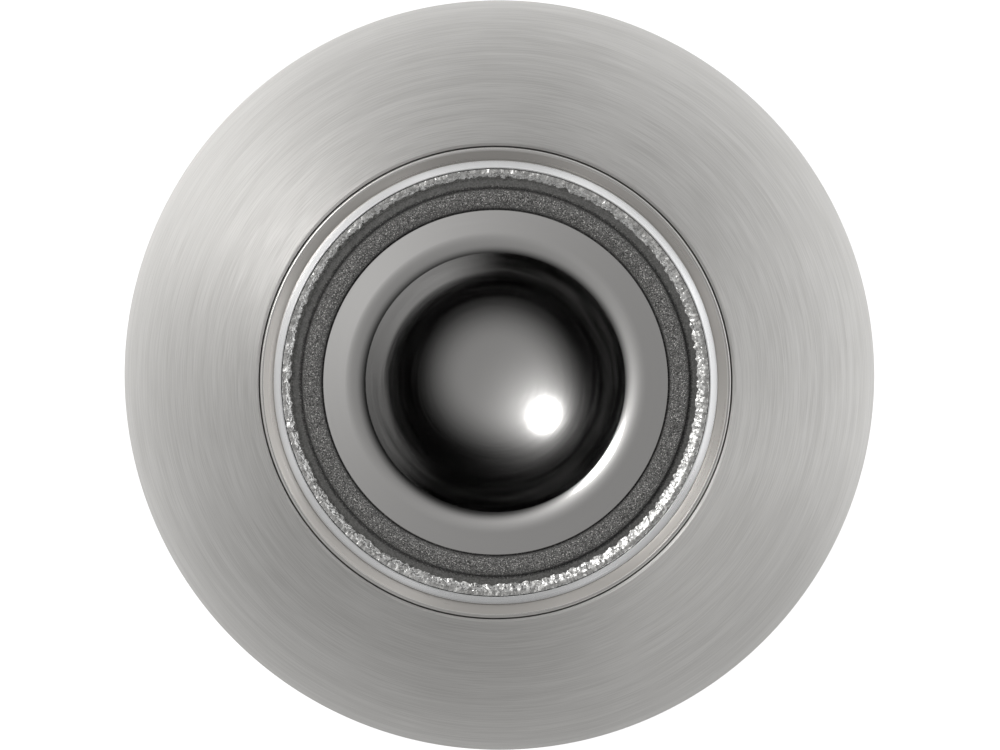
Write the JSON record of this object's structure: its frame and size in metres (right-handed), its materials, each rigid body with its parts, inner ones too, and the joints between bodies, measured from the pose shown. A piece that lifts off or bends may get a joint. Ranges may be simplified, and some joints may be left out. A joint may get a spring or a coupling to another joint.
{
  "type": "car tweeter",
  "caption": "Round brushed metal pod tweeter with an aimable capsule holding a concave metal dome, foam surround and ring-magnet motor.",
  "frame": {"origin": "centre of the flat base that sits on the panel", "axes": "+Z along the sound axis at rest, out of the pod's mouth; +X along the capsule's trunnion pins at rest"},
  "size_m": [0.054, 0.054, 0.0178],
  "materials": {
    "pod_aluminium": "turned and circumferentially brushed, clear anodised",
    "capsule_aluminium": "diamond-turned, bright edges",
    "clamp_aluminium": "rough rolled edge with a bright, broken surface",
    "dome_metal": "satin, formed foil",
    "surround_foam": "coated open-cell foam, matt with fine grain",
    "base_plastic": "moulded, fine texture",
    "gasket_foam": "closed-cell foam",
    "grommet_rubber": "moulded, slight sheen",
    "swivel_plastic": "acetal, machined",
    "retainer_steel": "black zinc",
    "screw_steel": "zinc plated",
    "washer_felt": "pressed felt",
    "pin_steel": "ground",
    "frame_plastic": "moulded, glass filled",
    "motor_steel": "zinc plated",
    "magnet_nickel": "nickel plated, ground",
    "felt": "damping felt",
    "cap_plastic": "moulded",
    "board": "resin-bonded paper",
    "tab_brass": "tinned brass",
    "wire_copper": "enamelled copper",
    "former_film": "amber polyimide film"
  },
  "bodies": {
    "pod": {"pod_shell": "pod_aluminium", "retainer_ring": "retainer_steel", "retainer_screws": "screw_steel", "friction_washer": "washer_felt", "base_plate": "base_plastic", "base_gasket": "gasket_foam", "cable_grommet": "grommet_rubber"},
    "swivel": {"swivel_ring": "swivel_plastic", "trunnion_pins": "pin_steel"},
    "capsule": {"capsule_housing": "capsule_aluminium", "clamp_ring": "clamp_aluminium", "driver_frame": "frame_plastic", "surround": "surround_foam", "top_plate": "motor_steel", "magnet_ring": "magnet_nickel", "pole_yoke": "motor_steel", "vent_felt": "felt", "motor_spacer": "gasket_foam", "rear_cap": "cap_plastic", "rear_cap_screws": "screw_steel", "terminal_board": "board", "terminal_tabs": "tab_brass", "lead_wires": "wire_copper"},
    "diaphragm": {"dome": "dome_metal", "coil_former": "former_film", "voice_coil": "wire_copper"}
  },
  "joints": [
    {"name": "pan", "type": "hinge", "parent": "pod", "child": "swivel", "pos_m": [0, 0, 0.0128], "axis": [0, 0, 1], "range_deg": [-90, 90]},
    {"name": "tilt", "type": "hinge", "parent": "swivel", "child": "capsule", "pos_m": [0, 0, 0.0128], "axis": [1, 0, 0], "range_deg": [-15, 15]},
    {"name": "dome_travel", "type": "slide", "parent": "capsule", "child": "diaphragm", "axis": [0, 0, 1], "range_m": [-0.0003, 0.0003], "stiffness_N_per_m": 17000, "deforming": ["surround"]}
  ]
}
